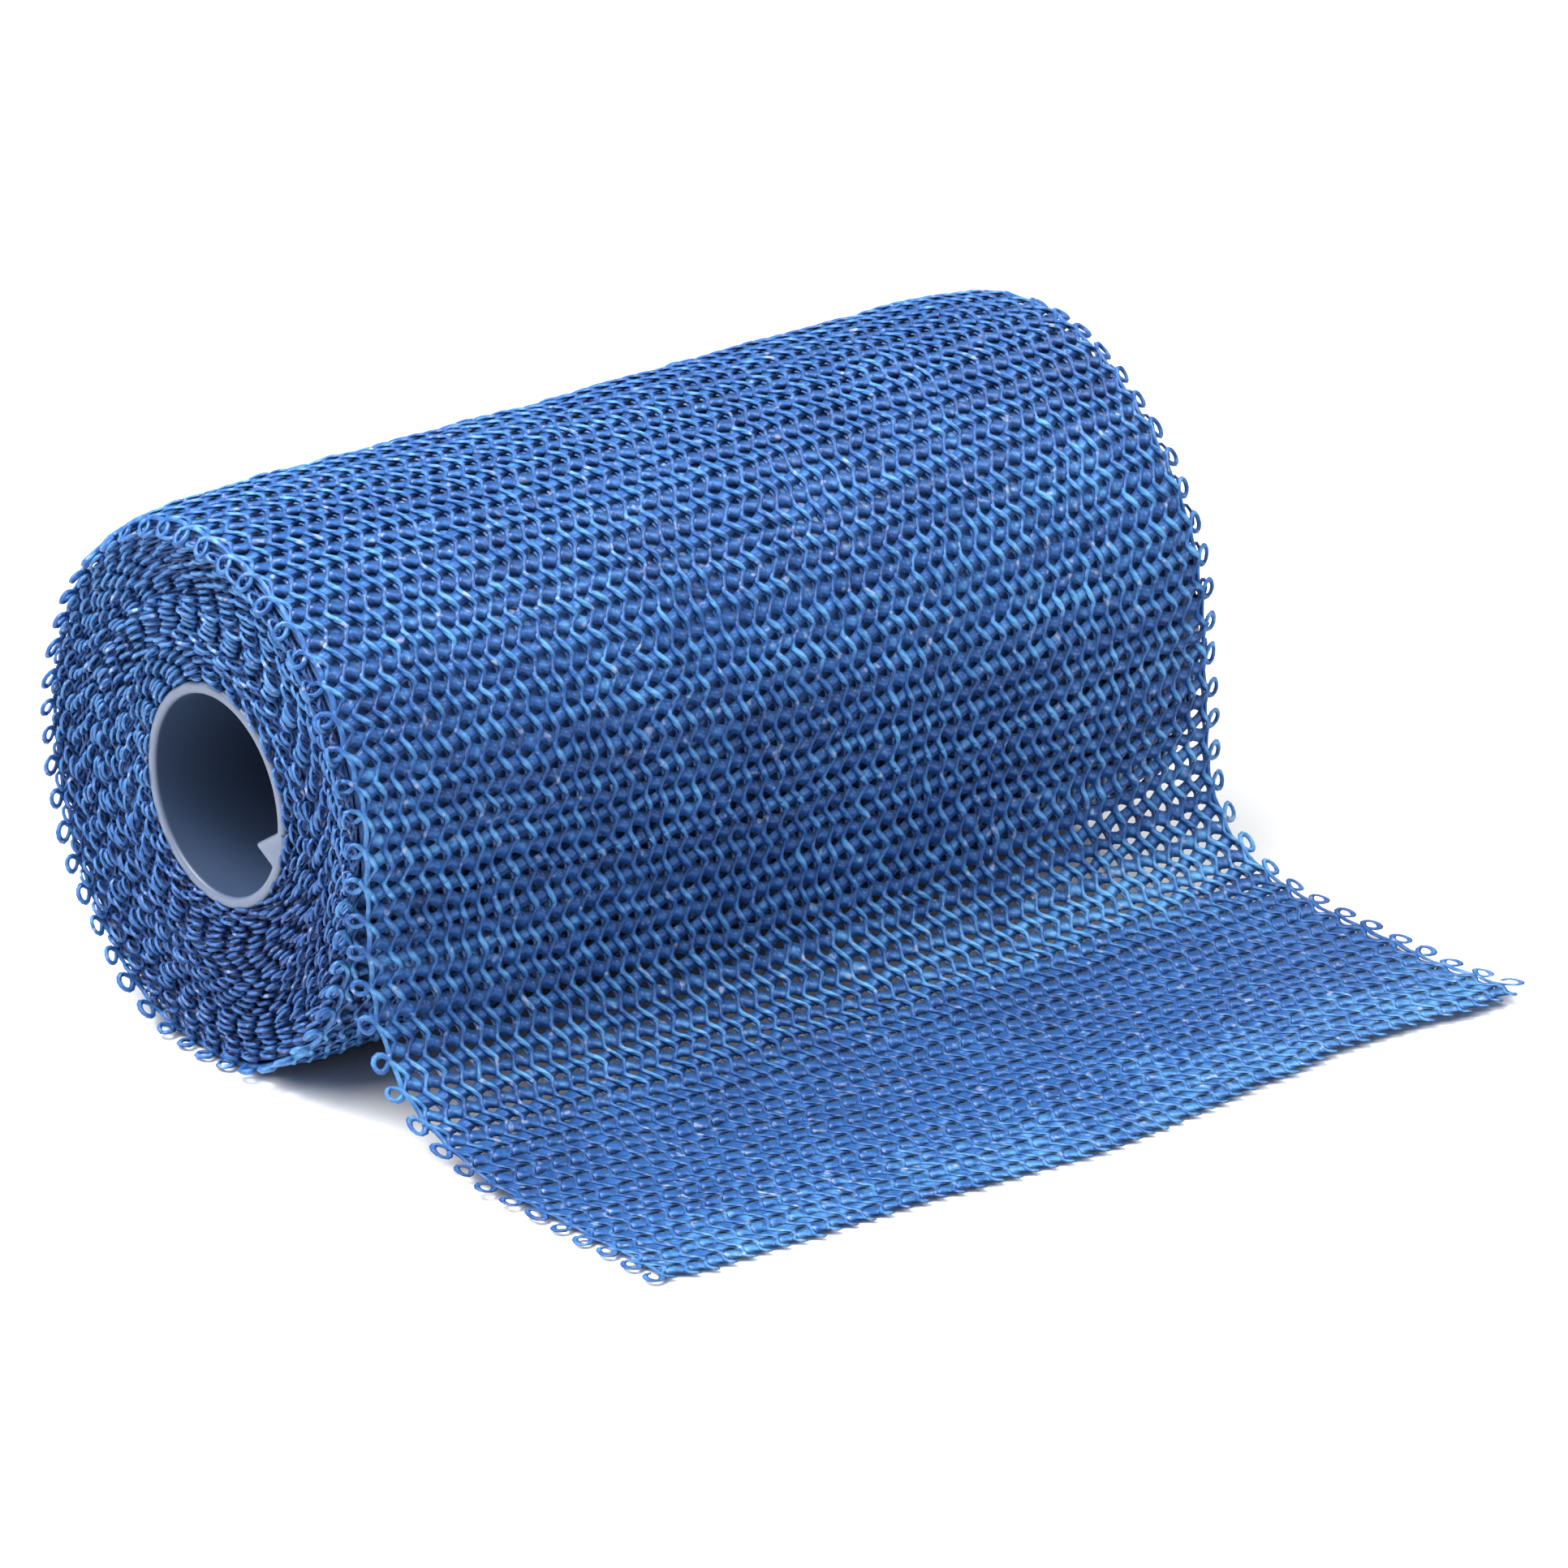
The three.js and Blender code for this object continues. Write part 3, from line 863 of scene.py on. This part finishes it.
# painted glints: pale specks painted into the colour on high-lying yarn
GLINT_SPOTS = (0.66, 0.74)
GLINT_SHARE = 0.8
ROUGH_LEAST = 0.24
ROUGH_SPREAD = 0.3
KNIT_SHINE = {
    "Sheen Weight": 0.1,
    "Sheen Roughness": 0.3,
    "Sheen Tint": (0.4, 0.68, 1.0, 1),
    "Specular IOR Level": 0.35,
    "Coat Weight": 0.14,
    "Coat Roughness": 0.25,
}
KNIT_COLOURS = named_rows(
    "name deep middle pale",
    ("casting_tape", (0.006, 0.026, 0.12), (0.022, 0.105, 0.345), (0.15, 0.47, 0.88)),
    # painted shade on the end faces: a copy of the tape's colours with a darker pale tone, and a lighter
    # deepest tone that lifts the shade in their gaps
    ("tape_edge_painted_shade", (0.013, 0.037, 0.145), (0.023, 0.088, 0.29), (0.095, 0.29, 0.61)),
    # painted light in the holes: a paler copy of the tape's colours, for the turns that show through the
    # knit
    ("tape_below_painted_light", (0.03, 0.08, 0.27), (0.055, 0.155, 0.43), (0.11, 0.3, 0.66)),
)
# painted shade of the deep bore, along with the tape that shows through its wall
BORE_COLOUR = (0.034, 0.056, 0.11)
RIM_COLOUR = (0.105, 0.135, 0.21)


def link(tree, source, target):
    tree.links.new(source, target)


def shader_group(name, inputs, outputs):
    """An empty node group with named sockets, its input and its output node."""
    group = bpy.data.node_groups.new(name, "ShaderNodeTree")
    for socket, kind, value in inputs:
        made = group.interface.new_socket(socket, in_out="INPUT", socket_type=kind)
        if value is not None:
            made.default_value = value
    for socket, kind in outputs:
        group.interface.new_socket(socket, in_out="OUTPUT", socket_type=kind)
    return group, group.nodes.new("NodeGroupInput"), group.nodes.new("NodeGroupOutput")


def math_node(tree, operation, first, second=None):
    node = tree.nodes.new("ShaderNodeMath")
    node.operation = operation
    for socket, value in zip(node.inputs, (first, second)):
        if value is None:
            continue
        if isinstance(value, (int, float)):
            socket.default_value = value
        else:
            link(tree, value, socket)
    return node.outputs[0]


def map_range(tree, value, low, high):
    """0 up to one value, and 1 from another on."""
    node = tree.nodes.new("ShaderNodeMapRange")
    node.inputs["From Min"].default_value = low
    node.inputs["From Max"].default_value = high
    link(tree, value, node.inputs["Value"])
    return node.outputs["Result"]


def mix_colours(tree, factor, first, second):
    """A colour between two others, each of them a socket or a fixed colour."""
    node = tree.nodes.new("ShaderNodeMix")
    node.data_type = "RGBA"
    link(tree, factor, node.inputs["Factor"])
    for name, colour in (("A", first), ("B", second)):
        if isinstance(colour, tuple):
            node.inputs[name].default_value = (*colour, 1)
        else:
            link(tree, colour, node.inputs[name])
    return node.outputs["Result"]


def ply_group():
    """The twist of a yarn: the height of its filament bundles."""
    group, entry, result = shader_group(
        "yarn_ply", [("Turns", "NodeSocketFloat", 1.0)], [("Height", "NodeSocketFloat")]
    )
    ply = group.nodes.new("ShaderNodeAttribute")
    ply.attribute_name = "ply"
    parts = group.nodes.new("ShaderNodeSeparateXYZ")
    link(group, ply.outputs["Vector"], parts.inputs[0])
    around = math_node(group, "ARCTAN2", parts.outputs["Z"], parts.outputs["X"])
    along = math_node(group, "MULTIPLY", parts.outputs["Y"], entry.outputs["Turns"])
    twist = math_node(group, "ADD", math_node(group, "MULTIPLY", around, BUNDLES), along)
    link(group, math_node(group, "SINE", twist), result.inputs["Height"])
    return group


def tone_group():
    """A colour between three tones, and a roughness: uneven dye and wetting from two noises, the painted
    light and shade that each cloth carries, and painted glints.
    """
    group, entry, result = shader_group(
        "knit_tone",
        [
            ("Deep", "NodeSocketColor", (0.01, 0.03, 0.14, 1)),
            ("Middle", "NodeSocketColor", (0.04, 0.15, 0.5, 1)),
            ("Pale", "NodeSocketColor", (0.2, 0.45, 0.85, 1)),
            ("Glint", "NodeSocketColor", (0.38, 0.46, 0.66, 1)),
            ("Painted light and tone", "NodeSocketFloat", 0.5),
        ],
        [("Color", "NodeSocketColor"), ("Roughness", "NodeSocketFloat")],
    )
    places = group.nodes.new("ShaderNodeTexCoord")

    def noise(scale, detail):
        node = group.nodes.new("ShaderNodeTexNoise")
        node.inputs["Scale"].default_value = scale
        node.inputs["Detail"].default_value = detail
        link(group, places.outputs["Object"], node.inputs["Vector"])
        return node.outputs["Fac"]

    fine, broad, sparkle = (noise(*size) for size in (FINE_NOISE, BROAD_NOISE, GLINT_NOISE))
    painted_light_and_tone = entry.outputs["Painted light and tone"]
    height = math_node(group, "MULTIPLY", painted_light_and_tone, PAINTED_LIGHT_SHARE)
    speck, patch = (
        math_node(group, "MULTIPLY", math_node(group, "SUBTRACT", field, 0.5), share)
        for field, share in ((fine, SPECK_SHARE), (broad, PATCH_SHARE))
    )
    level = math_node(group, "ADD", height, math_node(group, "ADD", speck, patch))
    to_middle = map_range(group, level, *DEEP_TO_MIDDLE)
    to_pale = map_range(group, level, *MIDDLE_TO_PALE)
    dye = mix_colours(group, to_middle, entry.outputs["Deep"], entry.outputs["Middle"])
    dye = mix_colours(group, to_pale, dye, entry.outputs["Pale"])
    # painted glints, standing in for the resin's reflections
    spots = map_range(group, sparkle, *GLINT_SPOTS)
    shown = math_node(group, "MULTIPLY", math_node(group, "MULTIPLY", spots, painted_light_and_tone), GLINT_SHARE)
    colour = mix_colours(group, shown, dye, entry.outputs["Glint"])
    link(group, colour, result.inputs["Color"])
    rough = math_node(group, "ADD", math_node(group, "MULTIPLY", fine, ROUGH_SPREAD), ROUGH_LEAST)
    link(group, rough, result.inputs["Roughness"])
    return group


TONES = tone_group()
PLY = ply_group()


def principled(name):
    material = bpy.data.materials.new(name)
    material.use_nodes = True
    return material, material.node_tree, material.node_tree.nodes["Principled BSDF"]


def knit_material(look):
    """Resin-wet glass yarn."""
    material, tree, shader = principled(look.name)
    tone = tree.nodes.new("ShaderNodeGroup")
    tone.node_tree = TONES
    for socket, colour in (("Deep", look.deep), ("Middle", look.middle), ("Pale", look.pale)):
        tone.inputs[socket].default_value = (*colour, 1)
    painted_light_and_tone = tree.nodes.new("ShaderNodeAttribute")
    painted_light_and_tone.attribute_name = "painted_light_and_tone"
    link(tree, painted_light_and_tone.outputs["Fac"], tone.inputs["Painted light and tone"])
    link(tree, tone.outputs["Color"], shader.inputs["Base Color"])
    link(tree, tone.outputs["Roughness"], shader.inputs["Roughness"])
    ply = tree.nodes.new("ShaderNodeGroup")
    ply.node_tree = PLY
    ply.inputs["Turns"].default_value = YARN_TURNS
    bump = tree.nodes.new("ShaderNodeBump")
    bump.inputs["Strength"].default_value = 0.5
    bump.inputs["Distance"].default_value = 0.06 * MM
    link(tree, ply.outputs["Height"], bump.inputs["Height"])
    link(tree, bump.outputs["Normal"], shader.inputs["Normal"])
    for socket, value in KNIT_SHINE.items():
        shader.inputs[socket].default_value = value
    return material


def plain_material(name, colour, roughness):
    material, _, shader = principled(name)
    shader.inputs["Base Color"].default_value = (*colour, 1)
    shader.inputs["Roughness"].default_value = roughness
    return material


def core_material():
    """Translucent polythene, paler at its two rims, and darker in the bore, where the tape shows through
    and painted shade stands for the shade deep in the bore.
    """
    material, tree, shader = principled("core_plastic")
    places = tree.nodes.new("ShaderNodeTexCoord")
    parts = tree.nodes.new("ShaderNodeSeparateXYZ")
    link(tree, places.outputs["Object"], parts.inputs[0])
    from_middle = math_node(tree, "ABSOLUTE", parts.outputs["X"])
    begins, full = ((CORE_LENGTH / 2 - inside) * MM for inside in RIM_LIGHT)
    rim = map_range(tree, from_middle, begins, full)
    link(tree, mix_colours(tree, rim, BORE_COLOUR, RIM_COLOUR), shader.inputs["Base Color"])
    shader.inputs["Roughness"].default_value = 0.35
    return material


CASTING_TAPE, TAPE_EDGE_PAINTED_SHADE, TAPE_BELOW_PAINTED_LIGHT = (knit_material(look) for look in KNIT_COLOURS)
CORE_PLASTIC = core_material()


def finish_piece(piece, material):
    piece.data.materials.clear()
    piece.data.materials.append(material)
    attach(piece, "root")


# The outermost turn, in three widths of tape, and the loops along its two edges
TURN_LENGTH = TURN_REPEATS * REPEAT
WIDTHS = ((0, 17), (17, 18), (35, 17))  # the first pillar of each, and how many it has
for number, (first, count) in enumerate(WIDTHS):
    name = f"outer_turn_{number}"
    stretch = (name, first, count, -TURN_LENGTH, TURN_REPEATS)
    finish_piece(finish_cloth(name, pillars(*stretch) + courses(*stretch)), CASTING_TAPE)
turn_loops = [edge_loops(f"turn_loops_{side}", side, -TURN_LENGTH, TURN_LENGTH) for side in (-1, 1)]
finish_piece(finish_cloth("outer_turn_loops", turn_loops), CASTING_TAPE)

# The turns below it, and their edges on the two end faces
body = turns_below("wound_turns")
finish_piece(body, TAPE_BELOW_PAINTED_LIGHT)
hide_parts("wound_tape")
for name, side in (("near_end_turns", -1), ("far_end_turns", 1)):
    finish_piece(end_turns(name, side), TAPE_EDGE_PAINTED_SHADE)

core = core_tube()
finish_piece(core, CORE_PLASTIC)
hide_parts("core")

# The loose end, one sheet with its pillars, cross yarns and edge loops
CUT_LENGTH = LOOSE_REPEATS * REPEAT
stretch = ("loose_end", 0, WALES, 0, LOOSE_REPEATS)
edges = [
    edge_loops("near_loops", -1, 0, CUT_LENGTH),
    edge_loops("far_loops", 1, 0, CUT_LENGTH - REPEAT / 2),
]
loose_end = finish_cloth("loose_end_knit", pillars(*stretch) + courses(*stretch) + edges)
finish_piece(loose_end, CASTING_TAPE)
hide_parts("loose_end")


# The lights: where they stand and what they are aimed at, their size in metres and their power in watts
LIGHTS = named_rows(
    "name place aim size power",
    ("key", (-0.5, 0.16, 0.85), (0, 0, 0.03), 1.3, 19.0),
    ("fill", (0.7, -0.45, 0.9), (0, 0, 0.03), 0.3, 3.9),
    ("near top", (-0.16, 0.06, 0.33), (-0.06, 0, 0.06), 0.15, 0.82),
    ("far side", (0.2, 0.02, 0.24), (0.085, -0.03, 0), 0.12, 0.24),
)
SKY_LIGHT = 0.34


def camera():
    data = bpy.data.cameras.new("camera")
    data.sensor_width = SENSOR
    data.lens = LENS
    view = bpy.data.objects.new("camera", data)
    bpy.context.scene.collection.objects.link(view)
    view.location = CAMERA_PLACE
    tilt, turn = radians(90 - CAMERA_ELEVATION), radians(-CAMERA_AZIMUTH)
    view.rotation_euler = (tilt, 0, turn)
    bpy.context.scene.camera = view


def soft_light(light):
    data = bpy.data.lights.new(light.name, "AREA")
    data.shape = "DISK"
    data.size = light.size
    data.energy = light.power
    lamp = bpy.data.objects.new(light.name, data)
    bpy.context.scene.collection.objects.link(lamp)
    lamp.location = light.place
    towards = Vector(light.aim) - Vector(light.place)
    lamp.rotation_euler = towards.to_track_quat("-Z", "Y").to_euler()


def studio():
    """A plain pale floor and soft light."""
    bpy.ops.object.select_all(action="DESELECT")
    bpy.ops.mesh.primitive_plane_add(size=8)
    floor = bpy.context.object
    floor.name = "floor"
    floor.data.materials.append(plain_material("floor", (0.9, 0.9, 0.9), 0.8))
    world = bpy.data.worlds.new("studio")
    world.use_nodes = True
    bpy.context.scene.world = world
    sky = world.node_tree.nodes["Background"]
    sky.inputs["Color"].default_value = (1, 1, 1, 1)
    sky.inputs["Strength"].default_value = SKY_LIGHT
    for light in LIGHTS:
        soft_light(light)
    bpy.context.scene.view_settings.view_transform = "Standard"


camera()
studio()
